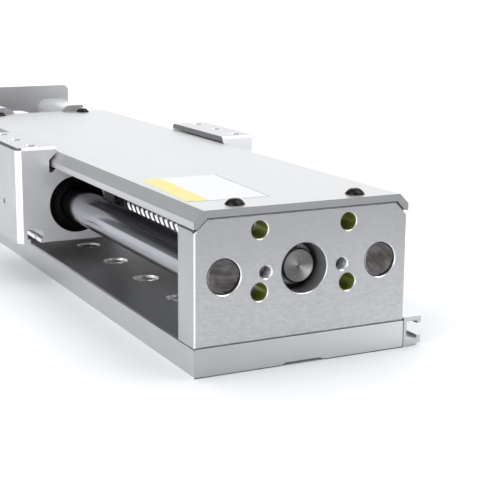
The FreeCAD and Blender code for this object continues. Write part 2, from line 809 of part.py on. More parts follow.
def bearing_locknut():
    body = turned("bearing_locknut", [
        ("0", "journal_dia / 2"),
        ("0", "bearing_inner / 2 - bearing_edge"),
        ("locknut_nose", "bearing_inner / 2 - bearing_edge"),
        ("locknut_nose", "locknut_dia / 2"),
        ("locknut_nose + locknut_wide - journal_edge", "locknut_dia / 2"),
        ("locknut_nose + locknut_wide", "locknut_dia / 2 - journal_edge"),
        ("locknut_nose + locknut_wide", "journal_dia / 2"),
    ])
    slot = new_sketch(body, "slot_outline", "XZ_Plane", "-locknut_nose")
    depth = "locknut_dia / 2 - locknut_slot / 2"
    outline(slot, mirrored([
        ("locknut_slot / 2", depth),
        ("locknut_slot / 2", "locknut_dia"),
    ]))
    first = pocket(body, "spanner_slot", slot)
    slots = body.newObject("PartDesign::PolarPattern", "spanner_slots")
    slots.Originals = [first]
    slots.Axis = (origin_item(body, "Y_Axis"), [""])
    slots.Angle = 360
    slots.Occurrences = 4
    body.Tip = slots
    doc.recompute()
    body.Placement = along(END)
    return body


def motor_bracket():
    """Open bay between the drive end block and the motor plate. Local Y is 0 at the block."""
    body = new_body("motor_bracket")
    side = "bracket_wide / 2"
    bay = "bracket_bay / 2"
    web = new_sketch(body, "web_outline", "XZ_Plane")
    outline(web, mirrored([(side, "-bracket_drop"), (side, "web_rise")]))
    pad(body, "web", web, "web_thick", reverse=True)
    walls = new_sketch(body, "wall_outlines", "XZ_Plane")
    right = [(bay, "-bracket_drop"), (side, "-bracket_drop"), (side, "bracket_rise"), (bay, "bracket_rise")]
    outline(walls, right)
    outline(walls, [("-" + x, z) for x, z in right])
    pad(body, "walls", walls, "bracket_long", reverse=True)
    flange = new_sketch(body, "plate_outline", "XZ_Plane", "-bracket_long")
    outline(flange, four("plate_wide / 2", "plate_high / 2"))
    pad(body, "plate", flange, "plate_thick", reverse=True)

    drill(body, "bearing_window", "XZ_Plane", "0", [("0", "0")], "front_bore / 2", "web_thick")
    back = "-bracket_long"
    drill(body, "register", "XZ_Plane", back, [("0", "0")], "motor_register / 2", "plate_thick")
    drill(body, "motor_holes", "XZ_Plane", back, four("motor_hole_spread / 2", "motor_hole_spread / 2"),
          "motor_hole_bore / 2", "plate_thick")
    drill(body, "screw_holes", "XZ_Plane", "0", FACE_HOLES, "bracket_screw_dia / 2 + fit",
          "bracket_screw_long - block_thick + face_sink_deep + tap_room")

    half_wide = number("plate_wide / 2")
    half_high = number("plate_high / 2")
    top = number("bracket_rise")
    inner = number(bay)

    def plate_corner_edge(edge):
        centre = edge.BoundBox.Center
        return is_line(edge) and abs(abs(centre.x) - half_wide) < 1e-4 \
            and abs(abs(centre.z) - half_high) < 1e-4

    def bay_edge(edge):
        return is_line(edge) and at(edge, "z", top) and abs(abs(edge.BoundBox.Center.x) - inner) < 1e-4

    dress(body, "Fillet", "plate_corners", "Radius", "plate_corner", plate_corner_edge)
    dress(body, "Fillet", "bay_edges", "Radius", "bracket_round", bay_edge)
    body.Placement = along(END)
    return body


# Jaw coupling: two clamping hubs whose jaws alternate, and a spider with a leg between each two jaws

def cylinder(name, radius, height, start, angle=None, turn=0):
    """Cylinder or wedge along +Y whose sizes follow the sheet."""
    solid = doc.addObject("Part::Cylinder", name)
    bind(solid, "Radius", radius)
    bind(solid, "Height", height)
    if angle:
        bind(solid, "Angle", angle)
    lie_down = FreeCAD.Rotation(FreeCAD.Vector(1, 0, 0), -90)
    spin = FreeCAD.Rotation(FreeCAD.Vector(0, 1, 0), turn)
    spot = FreeCAD.Vector(0, number(start), number(AXIS))
    solid.Placement = FreeCAD.Placement(spot, spin.multiply(lie_down))
    return solid


def joined(name, parts):
    whole = doc.addObject("Part::MultiFuse", name)
    whole.Shapes = parts
    return whole


def cut_away(label, base, tools):
    result = doc.addObject("Part::Cut", label)
    result.Label = label
    result.Base = base
    result.Tool = joined(label + "_tools", tools) if len(tools) > 1 else tools[0]
    return result


def coupling_hub(label, start, jaws_start, turn):
    """Clamping hub whose jaws reach across the spider's thickness."""
    parts = [cylinder(label + "_barrel", "hub_dia / 2", "hub_long", start)]
    for index in range(round(number("jaw_count"))):
        parts.append(cylinder("%s_jaw%d" % (label, index), "hub_dia / 2", "jaw_long", jaws_start,
                              "jaw_angle", turn + number("360 / jaw_count") * index))
    bore = cylinder(label + "_bore", "drive_dia / 2 + fit", "hub_long", start)
    middle = cylinder(label + "_middle", "jaw_root / 2", "jaw_long", jaws_start)
    slit = doc.addObject("Part::Box", label + "_slit")
    bind(slit, "Length", "clamp_slit")
    bind(slit, "Width", "hub_long")
    bind(slit, "Height", "hub_dia / 2")
    slit.Placement.Base = FreeCAD.Vector(number("-clamp_slit / 2"), number(start), number(AXIS))
    screw = doc.addObject("Part::Cylinder", label + "_screw_hole")
    bind(screw, "Radius", "clamp_screw_dia / 2 + fit")
    bind(screw, "Height", "hub_dia")
    across = FreeCAD.Rotation(FreeCAD.Vector(0, 1, 0), 90)
    middle_y = number(start + " + hub_long / 2")
    spot = FreeCAD.Vector(number("-hub_dia / 2"), middle_y, number(AXIS + " + clamp_screw_offset"))
    screw.Placement = FreeCAD.Placement(spot, across)
    return cut_away(label, joined(label + "_solid", parts), [bore, middle, slit, screw])


def coupling():
    share = number("180 / jaw_count")
    jaw = number("jaw_angle")
    gap = (share - jaw - number("leg_angle")) / 2
    coupling_hub("screw_side_hub", HUB_START, SPIDER_START, 0)
    coupling_hub("motor_side_hub", FAR_HUB_START, SPIDER_START, share)
    start = SPIDER_START + " + run_fit"
    long = "jaw_long - 2 * run_fit"
    legs = [cylinder("spider_core", "jaw_root / 2 - run_fit", long, start)]
    for index in range(round(number("2 * jaw_count"))):
        turn = share * index + jaw + gap
        legs.append(cylinder("spider_leg%d" % index, "hub_dia / 2 - run_fit", long, start, "leg_angle", turn))
    spider = joined("coupling_spider", legs)
    spider.Label = "coupling_spider"
    return spider


def fasteners():
    def read(*names):
        return [number(name) for name in names]

    ends = [(sign, station) for sign in ("-1", "1") for station in ("-" + BLOCK_Y, BLOCK_Y)]
    seat = "block_screw_high + head_room"
    roof = "base_thick + block_high + cover_thick"

    block = screw_solid(*read("block_screw_dia", "block_screw_long", "block_screw_head", "block_screw_high"))
    spots = [("%s * block_screw_spread / 2" % sign, y, seat) for sign, y in ends]
    group("end_block_screws", block, spots, (0, 0, -1))

    button = screw_solid(*read("cover_screw_dia", "cover_screw_long", "cover_screw_head", "cover_screw_high",
                               "cover_socket", "cover_socket_deep"), dome=True)
    spots = [("%s * cover_screw_spread / 2" % sign, y, roof) for sign, y in ends]
    group("cover_screws", button, spots, (0, 0, 1))

    pin = screw_solid(*read("set_screw_dia", "set_screw_long"))
    under = AXIS + " - shaft_end_dia / 2"
    group("shaft_set_screws", pin, [("%s * %s" % (sign, SHAFT_X), y, under) for sign, y in ends], (0, 0, 1))

    cap = screw_solid(*read("bracket_screw_dia", "bracket_screw_long", "bracket_screw_head",
                            "bracket_screw_high", "cap_socket", "cap_socket_deep"))
    inside = END + " - block_thick + face_sink_deep"
    group("bracket_screws", cap, [(x, inside, AXIS + " + (%s)" % z) for x, z in FACE_HOLES], (0, -1, 0))

    short = screw_solid(*read("nut_screw_dia", "nut_screw_long", "nut_screw_head", "nut_screw_high",
                              "cap_socket", "cap_socket_deep"))
    back = CARRIAGE_Y + " + carriage_long / 2 - nut_screw_high - head_room"
    group("ball_nut_screws", short, [(x, back, AXIS + " + (%s)" % z) for x, z in NUT_SCREWS], (0, 1, 0))

    flat = screw_solid(*read("rail_screw_dia", "rail_screw_long", "rail_screw_head"), flush=True)
    face = "base_width / 2 + rail_wall"
    group("sensor_rail_screws", flat, [(face, row, "rail_screw_height") for row in RAIL_ROWS], (1, 0, 0))

    clamp = screw_solid(*read("clamp_screw_dia", "clamp_screw_long"))
    middles = [HUB_START + " + hub_long / 2", FAR_HUB_START + " + hub_long / 2"]
    high = AXIS + " + clamp_screw_offset"
    group("coupling_screws", clamp, [("clamp_screw_long / 2", y, high) for y in middles], (1, 0, 0))


base_plate()
end_block("near_end_block", -1)
end_block("far_end_block", 1)
top_cover()
sensor_rail()
carriage_body()
for side_name, side_sign in (("left", -1), ("right", 1)):
    guide_shaft(side_name + "_guide_shaft", side_sign)
    for end_name, end_sign in (("front", -1), ("rear", 1)):
        bushing("%s_%s_bushing" % (side_name, end_name), side_sign, end_sign)
        wiper_seal("%s_%s_seal" % (side_name, end_name), side_sign, end_sign)
ball_nut()
ball_screw()
bearings()
bearing_locknut()
motor_bracket()
coupling()
fasteners()
doc.recompute()

NODES = [
    "base_plate", "near_end_block", "far_end_block", "end_block_screws", "top_cover", "cover_screws",
    "sensor_rail", "sensor_rail_screws", "left_guide_shaft", "right_guide_shaft", "shaft_set_screws",
    "near_bearing_outer_ring", "far_bearing_outer_rings", "motor_bracket", "bracket_screws",
    "carriage_body", "left_front_bushing", "left_rear_bushing", "right_front_bushing",
    "right_rear_bushing", "left_front_seal", "left_rear_seal", "right_front_seal", "right_rear_seal",
    "ball_nut", "ball_nut_screws",
    "ball_screw", "near_bearing_inner_ring", "far_bearing_inner_rings", "bearing_locknut",
    "screw_side_hub", "coupling_spider", "motor_side_hub", "coupling_screws",
]

for item in doc.Objects:
    if "Invalid" in item.State or "Error" in item.State:
        raise ValueError("%s did not rebuild: %s" % (item.Name, item.State))

os.makedirs("parts", exist_ok=True)
for name in NODES:
    shape = doc.getObjectsByLabel(name)[0].Shape
    if shape.isNull() or not shape.isValid() or not shape.Solids:
        raise ValueError("%s has no valid solid" % name)
    shape.exportStep("parts/%s.step" % name)
    print(name, len(shape.Solids), "solids", round(shape.Volume, 1))
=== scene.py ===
"""Ball screw slide stage in a plain pale studio, seen from low down at its near left corner."""

import math

import bmesh
import bpy
from mathutils import Matrix, Vector


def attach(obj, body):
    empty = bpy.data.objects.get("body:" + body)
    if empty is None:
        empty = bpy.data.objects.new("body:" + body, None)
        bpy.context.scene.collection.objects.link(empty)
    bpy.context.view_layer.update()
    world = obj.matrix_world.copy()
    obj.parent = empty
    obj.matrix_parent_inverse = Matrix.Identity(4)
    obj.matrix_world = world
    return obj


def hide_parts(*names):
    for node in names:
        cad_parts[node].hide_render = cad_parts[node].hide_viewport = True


MM = 0.001
UP = Vector((0, 0, 1))

# Camera: place and reach in metres, angles in degrees, lens and sensor in millimetres
CAMERA_SPOT = Vector((-0.195175, -0.481996, 0.127102))
CAMERA_REACH = 200
CAMERA_AZIMUTH = -26.805
CAMERA_DIP = 12.291
CAMERA_ROLL = 0.399
CAMERA_LENS = 91.352
CAMERA_SENSOR = 36

# Sizes of the stage, in millimetres. It runs along Y, with its near end at -Y.
AXIS_Z = 32.7
BLOCK_FACE = 143.0
BLOCK_INNER = 130.5
BLOCK_Y = (BLOCK_FACE + BLOCK_INNER) / 2
SHOULDER_Z = 48.3
COVER_TOP = 54.9
COVER_SCREW_X = 22.7
BASE_TOP = 10.0
BASE_HALF = 40.0
CARRIAGE_Y = 24.75
CARRIAGE_HALF = 27.25
PAD_TOP = 57.3
SLOT_X = (44.5, 51.6)
SLOT_Z = (17.4, 23.4)

# Widths of thin painted shadow lines at joints and edges, of a thin painted highlight along the
# base's lower side edges and of the pads' rims, and a hair under a face
COVER_LIP_SHADOW = 1.6
PAD_BEVEL = 1.05
BASE_GAP_SHADOW = 0.22
BASE_EDGE_HIGHLIGHT = 0.4
BASE_END_SHADOW = 0.35
RAIL_GAP_SHADOW = 0.3
HAIR = 0.01

# Centres of holes, and the radii inside which they take their own finish
FACE_HOLES = [(x, AXIS_Z + z) for x in (-16.7, 16.7) for z in (-6.4, 14.3)]
FACE_HOLE_R = 3.04
SCREW_BORE = [(0.0, AXIS_Z)]
SCREW_BORE_R = 8.6
THREAD_PAIR = [(-14.4, AXIS_Z), (14.4, AXIS_Z)]
THREAD_PAIR_R = 2.15
BASE_HOLES = [(x, 33 * (row - 3.5)) for x in (-18, 18) for row in range(8)]
BASE_HOLE_R = 5.3
PAD_HOLES = [(x, CARRIAGE_Y + y) for x in (-47.5, 47.5) for y in (-20, 0, 20)]
PAD_RIM_R = 2.6
PAD_THREAD_R = 2.12

# Guide shafts
SHAFT_X = 29.5
SHAFT_END = 142.7
SHAFT_SHOULDER = 130.5
SHAFT_R = 7.0
SHAFT_END_R = 6.0
SHAFT_CHAMFER = 0.5
SEAL_R = 12.0

# Ball screw: stations along Y, radii and thread
THREAD_START = -130.5
THREAD_STOP = 133.0
SCREW_START = -139.1
JOURNAL_STOP = 153.0
SCREW_STOP = 164.0
SCREW_R = 8.0
JOURNAL_R = 5.99
DRIVE_R = 4.0
SCREW_CHAMFER = 0.5
LEAD = 5.0
GROOVE_WIDE = 3.0
GROOVE_DEEP = 0.9
LAND_EDGE = (0.12, 0.06)
JOURNAL_OVERLAP = 0.2
CENTRE_MARK = [(0.1, 0.35), (0.45, 0.05), (0.6, 0.0)]
TURN_STEPS = 48

# Slopes of faces along an axis, from 0 to 1: a bevel lies between these two
SLOPED = 0.5
SQUARE = 0.9


# Mesh helpers. Every maker takes millimetres and gives an object at the origin.

def keep(name, bm, *materials, sharp=30):
    """Mesh object from a bmesh, shaded smooth up to an angle in degrees."""
    bmesh.ops.recalc_face_normals(bm, faces=bm.faces)
    mesh = bpy.data.meshes.new(name)
    bm.to_mesh(mesh)
    bm.free()
    mesh.transform(Matrix.Scale(MM, 4))
    for face in mesh.polygons:
        face.use_smooth = True
    mesh.set_sharp_from_angle(angle=math.radians(sharp))
    for finish in materials:
        mesh.materials.append(finish)
    piece = bpy.data.objects.new(name, mesh)
    bpy.context.collection.objects.link(piece)
    return piece


def ring(bm, place, radius, count, flats=None):
    """Ring of points about +Z. flats is the width of a hexagon, in place of the radius."""
    points = []
    for step in range(count):
        angle = 2 * math.pi * step / count
        reach = radius
        if flats:
            reach = flats / 2 / math.cos(angle % (math.pi / 3) - math.pi / 6)
        spot = Vector((reach * math.cos(angle), reach * math.sin(angle), 0))
        points.append(bm.verts.new(place @ spot))
    return points


def skin(bm, lower, upper):
    """Band of faces between two rings of points."""
    count = len(lower)
    for step in range(count):
        follow = (step + 1) % count
        bm.faces.new((lower[step], lower[follow], upper[follow], upper[step]))


def lathe(bm, place, profile, count=64, closed=False):
    """Turned form about +Z of a placement. The profile's points are a radius, a height and,
    if wanted, the width of a hexagon that takes the place of the radius. The form is capped
    at both ends, or joins its last ring to its first where it is closed."""
    rings = []
    for point in profile:
        radius, height = point[:2]
        flats = point[2] if len(point) > 2 else None
        rings.append(ring(bm, place @ Matrix.Translation((0, 0, height)), radius, count, flats))
    for lower, upper in zip(rings, rings[1:]):
        skin(bm, lower, upper)
    if closed:
        skin(bm, rings[-1], rings[0])
    else:
        bm.faces.new(rings[0])
        bm.faces.new(rings[-1])


def along_y(x, y, z):
    """Placement whose +Z points along the stage's +Y."""
    return Matrix.Translation((x, y, z)) @ Matrix.Rotation(-math.pi / 2, 4, "X")


def facing(x, y, z, direction):
    """Placement whose +Z points along a direction."""
    turn = Vector(direction).to_track_quat("Z", "Y").to_matrix().to_4x4()
    return Matrix.Translation((x, y, z)) @ turn


# Materials: nodes and sockets

def new_material(name, color, metallic, roughness, extra=None):
    """Principled material whose plain values sit on the shader's own sockets."""
    made = bpy.data.materials.new(name)
    made.use_nodes = True
    shader = shader_of(made)
    shader.inputs["Base Color"].default_value = (*color, 1)
    shader.inputs["Metallic"].default_value = metallic
    shader.inputs["Roughness"].default_value = roughness
    for socket, value in (extra or {}).items():
        shader.inputs[socket].default_value = value
    return made


def shader_of(made):
    return made.node_tree.nodes["Principled BSDF"]


def node(made, kind, **settings):
    """New node, with each setting put on its socket or else on the node."""
    created = made.node_tree.nodes.new(kind)
    for key, value in settings.items():
        if key in created.inputs.keys():
            created.inputs[key].default_value = value
        else:
            setattr(created, key, value)
    return created


def link(made, source, target):
    made.node_tree.links.new(source, target)


def maths(made, operation, first, second=0):
    """Result of two sockets or numbers."""
    created = node(made, "ShaderNodeMath", operation=operation)
    for slot, value in enumerate((first, second)):
        if isinstance(value, (int, float)):
            created.inputs[slot].default_value = value
        else:
            link(made, value, created.inputs[slot])
    return created.outputs["Value"]


def all_of(made, *factors):
    """Product of masks, textures or numbers."""
    product = factors[0]
    for factor in factors[1:]:
        product = maths(made, "MULTIPLY", product, factor)
    return product


def noise(made, per_metre, stretch=(1, 1, 1), detail=3, roughness=0.6, turn=0):
    """Noise over the object's own coordinates, in features per metre. A small stretch draws it
    out, and turn is in degrees about Y."""
    place = node(made, "ShaderNodeTexCoord")
    scaled = node(made, "ShaderNodeMapping", vector_type="TEXTURE" if turn else "POINT")
    scale = [per_metre * value for value in stretch]
    scaled.inputs["Scale"].default_value = [1 / value for value in scale] if turn else scale
    scaled.inputs["Rotation"].default_value = (0, math.radians(turn), 0)
    texture = node(made, "ShaderNodeTexNoise", Scale=1.0, Detail=detail, Roughness=roughness)
    link(made, place.outputs["Object"], scaled.inputs["Vector"])
    link(made, scaled.outputs["Vector"], texture.inputs["Vector"])
    return texture.outputs["Fac"]


def spread(made, value, low, high, start=0.3, stop=0.7, **settings):
    """Goes from low to high as a value goes from start to stop."""
    ranged = node(made, "ShaderNodeMapRange", **settings)
    for socket, bound in zip(("From Min", "From Max", "To Min", "To Max"),
                             (start, stop, low, high)):
        ranged.inputs[socket].default_value = bound
    link(made, value, ranged.inputs["Value"])
    return ranged.outputs["Result"]


def tint(made, fac, dark, light, start=0.3, stop=0.7):
    """Base colour that a texture mixes from two colours."""
    blend = node(made, "ShaderNodeValToRGB")
    blend.color_ramp.elements[0].position = start
    blend.color_ramp.elements[1].position = stop
    blend.color_ramp.elements[0].color = (*dark, 1)
    blend.color_ramp.elements[1].color = (*light, 1)
    link(made, fac, blend.inputs["Fac"])
    link(made, blend.outputs["Color"], shader_of(made).inputs["Base Color"])


def relief(made, fac, strength, depth):
    """Bump from a texture, with its depth in millimetres."""
    bump = node(made, "ShaderNodeBump", Strength=strength, Distance=depth * MM)
    link(made, fac, bump.inputs["Height"])
    link(made, bump.outputs["Normal"], shader_of(made).inputs["Normal"])


def shade(color, factor):
    return tuple(min(1.0, value * factor) for value in color)


# Materials: masks, which are 1 on the faces that they name

def part_of(made, source, axis):
    """One component of a vector socket."""
    split = node(made, "ShaderNodeSeparateXYZ")
    link(made, source, split.inputs["Vector"])
    return split.outputs[axis]


def coordinate(made, axis):
    """Place along one axis of the stage, in millimetres."""
    place = node(made, "ShaderNodeTexCoord")
    return maths(made, "DIVIDE", part_of(made, place.outputs["Object"], axis), MM)


def distance(made, axis):
    """Distance from the middle along one axis, in millimetres."""
    return maths(made, "ABSOLUTE", coordinate(made, axis))


def normal(made, axis):
    """Slope of the face along one axis, from -1 to 1."""
    geometry = node(made, "ShaderNodeNewGeometry")
    return part_of(made, geometry.outputs["True Normal"], axis)


def slant(made, axis):
    """Size of that slope: 0 on a face that the axis lies in, about 0.7 on a bevel."""
    return maths(made, "ABSOLUTE", normal(made, axis))


def above(made, value, limit):
    return maths(made, "GREATER_THAN", value, limit)


def below(made, value, limit):
    return maths(made, "LESS_THAN", value, limit)


def between(made, value, low, high):
    return all_of(made, above(made, value, low), below(made, value, high))


def square_to(made, axis):
    """Faces that look along an axis, either way."""
    return above(made, slant(made, axis), SQUARE)


def bevels(made, axis):
    """Bevels round the faces that look along an axis."""
    return between(made, slant(made, axis), SLOPED, SQUARE)


def near_half(made):
    return below(made, coordinate(made, "Y"), 0)


def within(made, axes, centres, radius):
    """Inside a radius of any of the centres, seen along the third axis."""
    first = coordinate(made, axes[0])
    second = coordinate(made, axes[1])
    inside = 0.0
    for a, b in centres:
        across = maths(made, "POWER", maths(made, "SUBTRACT", first, a), 2)
        up = maths(made, "POWER", maths(made, "SUBTRACT", second, b), 2)
        hit = below(made, maths(made, "ADD", across, up), radius * radius)
        inside = maths(made, "MAXIMUM", inside, hit)
    return inside


def over(made, mask, color, roughness, metallic=1.0):
    """Lay another colour and gloss over the material where the mask is 1."""
    shader = shader_of(made)
    finish = [("Base Color", (*color, 1), "RGBA"), ("Roughness", roughness, "FLOAT")]
    if metallic != shader.inputs["Metallic"].default_value:
        finish.append(("Metallic", metallic, "FLOAT"))
    for socket, value, kind in finish:
        target = shader.inputs[socket]
        blend = node(made, "ShaderNodeMix", data_type=kind)
        factor = blend.inputs[0]
        first, second = [item for item in blend.inputs if item.enabled and item != factor][:2]
        if target.links:
            link(made, target.links[0].from_socket, first)
        else:
            first.default_value = target.default_value
        second.default_value = value
        link(made, mask, factor)
        result = [item for item in blend.outputs if item.enabled][0]
        link(made, result, target)


def threads(made, mask, axis, pitch, depth=0.12):
    """Thread turns as relief where the mask is 1, added to the bump that the material has."""
    shader = shader_of(made)
    phase = maths(made, "MULTIPLY", coordinate(made, axis), 2 * math.pi / pitch)
    turns = maths(made, "SINE", phase)
    bump = node(made, "ShaderNodeBump", Strength=1.0, Distance=depth * MM)
    link(made, all_of(made, turns, mask), bump.inputs["Height"])
    link(made, shader.inputs["Normal"].links[0].from_socket, bump.inputs["Normal"])
    link(made, bump.outputs["Normal"], shader.inputs["Normal"])


# Aluminium

# Bright bare cut metal, also used as painted light on the base's side edges and inside the
# carriage's slots.
BRIGHT_CUT_AND_HIGHLIGHT = (0.96, 0.96, 0.96)


def anodised(name, color, roughness, stretch=(1, 1, 1), grain=900, contrast=0.05, depth=0.02,
             metallic=1.0, vary=0.03):
    """Blasted or brushed aluminium: fine grain in tone, gloss and relief."""
    made = new_material(name, color, metallic, roughness)
    fine = noise(made, grain, stretch)
    tint(made, fine, shade(color, 1 - contrast), shade(color, 1 + contrast))
    gloss = spread(made, noise(made, 45, detail=2), roughness - vary, roughness + vary)
    link(made, gloss, shader_of(made).inputs["Roughness"])
    relief(made, fine, strength=0.3, depth=depth)
    return made


def block_aluminium():
    """Satin block with bright bevels, olive holes and two threaded holes; painted shade darkens it
    towards the top, in a band under the cover's edge, and deep in the screw bore and the threaded
    holes.
    """
    made = anodised("block_anodised", (0.55, 0.55, 0.555), 0.40, (0.35, 1, 1), grain=1500,
                    contrast=0.10)

    def deep(start, stop):
        """Goes from 0 to 1 between two depths behind the near face."""
        return spread(made, coordinate(made, "Y"), 0.0, 1.0, start - BLOCK_FACE, stop - BLOCK_FACE)

    # Darker towards the top of the block: painted shade.
    upward = spread(made, coordinate(made, "Z"), 0.0, 1.0, start=15, stop=50)
    over(made, all_of(made, upward, 0.7), (0.38, 0.38, 0.385), roughness=0.40)
    over(made, bevels(made, "Y"), BRIGHT_CUT_AND_HIGHLIGHT, roughness=0.28)

    # Black band on the block's top just under the cover's edge: painted shadow of the cover's lip.
    outer = above(made, distance(made, "Y"), BLOCK_FACE - COVER_LIP_SHADOW)
    high = above(made, coordinate(made, "Z"), SHOULDER_Z)
    upright = below(made, slant(made, "Y"), SLOPED)
    over(made, all_of(made, outer, high, upright), (0.03, 0.03, 0.03), roughness=0.6)

    near = near_half(made)
    holes = all_of(made, within(made, "XZ", FACE_HOLES, FACE_HOLE_R), near)
    over(made, holes, (0.33, 0.355, 0.065), roughness=0.42, metallic=0.55)

    # Screw bore: the wall is painted darker and goes black deeper in: painted shade.
    bore = all_of(made, within(made, "XZ", SCREW_BORE, SCREW_BORE_R), near)
    over(made, bore, (0.26, 0.26, 0.26), roughness=0.38, metallic=0.3)
    over(made, all_of(made, bore, deep(5.5, 9.0)), (0.03, 0.03, 0.03), roughness=0.4)

    pair = all_of(made, within(made, "XZ", THREAD_PAIR, THREAD_PAIR_R), near)
    over(made, pair, (0.92, 0.92, 0.93), roughness=0.26)
    # The threaded holes go black deeper in: painted shade.
    over(made, all_of(made, pair, deep(2.5, 6.2)), (0.04, 0.04, 0.04), roughness=0.3)
    threads(made, pair, "Y", pitch=0.8)
    return made


def carriage_aluminium():
    """Extruded body with milled ends, bright bevels and threaded pad holes; painted light on its
    top and bottom faces, its milled ends and inside its slots, and painted shade on its ends
    between the seals.
    """
    made = anodised("carriage_anodised", (0.51, 0.51, 0.515), 0.36, (1, 0.25, 0.08), grain=1000,
                    contrast=0.04)
    # Top and bottom faces lighter than the sides: painted light.
    over(made, square_to(made, "Z"), (0.62, 0.62, 0.625), roughness=0.36)

    # Milled ends brighter and more diffuse: partly bare milled metal, partly painted light.
    milled = square_to(made, "Y")
    over(made, milled, (0.98, 0.98, 0.985), roughness=0.32, metallic=0.54)
    # Ends between the seals, under the cover, are darker: painted shade.
    inside = below(made, distance(made, "X"), SHAFT_X - SEAL_R)
    over(made, all_of(made, milled, inside), (0.34, 0.34, 0.34), roughness=0.5)

    over(made, bevels(made, "Y"), (0.99, 0.99, 0.985), roughness=0.16)
    pad_rim = all_of(made, bevels(made, "Z"),
                     above(made, coordinate(made, "Z"), PAD_TOP - PAD_BEVEL))
    over(made, pad_rim, (0.45, 0.46, 0.48), roughness=0.13)

    # The inside of the slots is painted as bright as a lit face: painted light.
    across = between(made, distance(made, "X"), *SLOT_X)
    low = between(made, coordinate(made, "Z"), *SLOT_Z)
    lengthwise = below(made, slant(made, "Y"), 0.1)
    over(made, all_of(made, across, low, lengthwise), BRIGHT_CUT_AND_HIGHLIGHT, roughness=0.3)

    over(made, within(made, "XY", PAD_HOLES, PAD_RIM_R), BRIGHT_CUT_AND_HIGHLIGHT, roughness=0.18)
    threads(made, within(made, "XY", PAD_HOLES, PAD_THREAD_R), "Z", pitch=0.8)
    return made


def base_aluminium():
    """Base plate with bright sunk holes and sawn ends; painted light makes the ends lighter towards
    the right and the sides' bottom edges bright, and painted shadow darkens the ends' bottom edge
    and the lines under the end blocks.
    """
    made = anodised("base_anodised", (0.60, 0.60, 0.605), 0.36, (1, 0.06, 1), grain=1300,
                    contrast=0.04)
    height = coordinate(made, "Z")
    sunk = all_of(made, within(made, "XY", BASE_HOLES, BASE_HOLE_R),
                  below(made, height, BASE_TOP - 2 * HAIR))
    over(made, sunk, BRIGHT_CUT_AND_HIGHLIGHT, roughness=0.10, metallic=0.75)
    threads(made, sunk, "Z", pitch=1.6, depth=0.34)

    # End faces go from darker at the left to lighter at the right: painted light and shade.
    sawn = square_to(made, "Y")
    over(made, sawn, (0.52, 0.52, 0.525), roughness=0.38)
    rightward = spread(made, coordinate(made, "X"), 0.0, 1.0, start=-BASE_HALF, stop=BASE_HALF)
    over(made, all_of(made, sawn, rightward), (0.70, 0.70, 0.705), roughness=0.38)
    # Dark strip along the bottom of the end faces: painted shadow.
    bottom_shadow = all_of(made, sawn, below(made, height, BASE_END_SHADOW))
    over(made, bottom_shadow, (0.14, 0.14, 0.14), roughness=0.5)

    # Bright strip along the bottom of the sides: painted highlight.
    edge_highlight = all_of(made, square_to(made, "X"), below(made, height, BASE_EDGE_HIGHLIGHT))
    over(made, edge_highlight, BRIGHT_CUT_AND_HIGHLIGHT, roughness=0.25)
    # Dark line on the base's edges just under the end blocks: painted shadow of the gap.
    gap_shadow = all_of(made, between(made, height, BASE_TOP - BASE_GAP_SHADOW, BASE_TOP - HAIR),
                   above(made, distance(made, "Y"), BLOCK_INNER))
    over(made, gap_shadow, (0.10, 0.10, 0.10), roughness=0.5)
    return made


def bracket_aluminium():
    """Machined bracket whose upward faces are painted lighter: painted light."""
    made = anodised("bracket_anodised", (0.66, 0.66, 0.665), 0.40, grain=1600, metallic=0.5)
    # Upward faces lighter: painted light.
    upper = above(made, normal(made, "Z"), 0.25)
    over(made, upper, (0.86, 0.86, 0.86), roughness=0.35, metallic=0.6)
    return made


def rail_aluminium():
    """Extruded rail with sawn ends; painted light makes its top and bottom faces lighter than its
    sides, and a painted shadow line darkens its ends along the base.
    """
    made = anodised("rail_anodised", (0.46, 0.46, 0.465), 0.33, (1, 0.05, 1), grain=1200)
    # Top and bottom faces lighter than the sides: painted light.
    over(made, square_to(made, "Z"), (0.90, 0.90, 0.90), roughness=0.36, metallic=0.6)
    ends = square_to(made, "Y")
    over(made, ends, (0.57, 0.57, 0.575), roughness=0.36)
    # Dark strip on the ends beside the base: painted shadow of the gap.
    gap_shadow = all_of(made, ends, below(made, coordinate(made, "X"), BASE_HALF + RAIL_GAP_SHADOW))
    over(made, gap_shadow, (0.06, 0.06, 0.06), roughness=0.5)
    return made


def cover_aluminium():
    """Satin cover sheet: even on top, with drawn lines along its folded sides; painted shade
    darkens the folded sides, the ends and the underside.
    """
    made = anodised("cover_anodised", (0.82, 0.82, 0.82), 0.42, (1, 0.05, 1), grain=1500,
                    contrast=0.015, depth=0.006, vary=0.005)
    # Folded sides darker than the top: painted shade.
    folded = above(made, slant(made, "X"), SLOPED)
    over(made, folded, (0.43, 0.43, 0.43), roughness=0.40, metallic=0.6)
    lines = noise(made, 900, (1, 0.01, 1), detail=4)
    over(made, all_of(made, folded, lines), (0.60, 0.60, 0.60), roughness=0.36, metallic=0.6)
    # Ends and underside darker: painted shade.
    over(made, square_to(made, "Y"), (0.33, 0.33, 0.33), roughness=0.34)
    shaded_underside = below(made, normal(made, "Z"), -0.3)
    over(made, shaded_underside, (0.28, 0.28, 0.28), roughness=0.5)
    return made


# Steel, rubber and elastomer

def ground_steel(name, color, roughness, stretch, grain=1500, contrast=0.08):
    """Steel whose fine lines vary its tone, gloss and relief."""
    made = new_material(name, color, 1.0, roughness)
    lines = noise(made, grain, stretch, detail=4)
    tint(made, lines, shade(color, 1 - contrast), shade(color, 1 + contrast))
    gloss = spread(made, lines, roughness * 0.8, roughness * 1.3)
    link(made, gloss, shader_of(made).inputs["Roughness"])
    relief(made, lines, strength=0.2, depth=0.01)
    return made


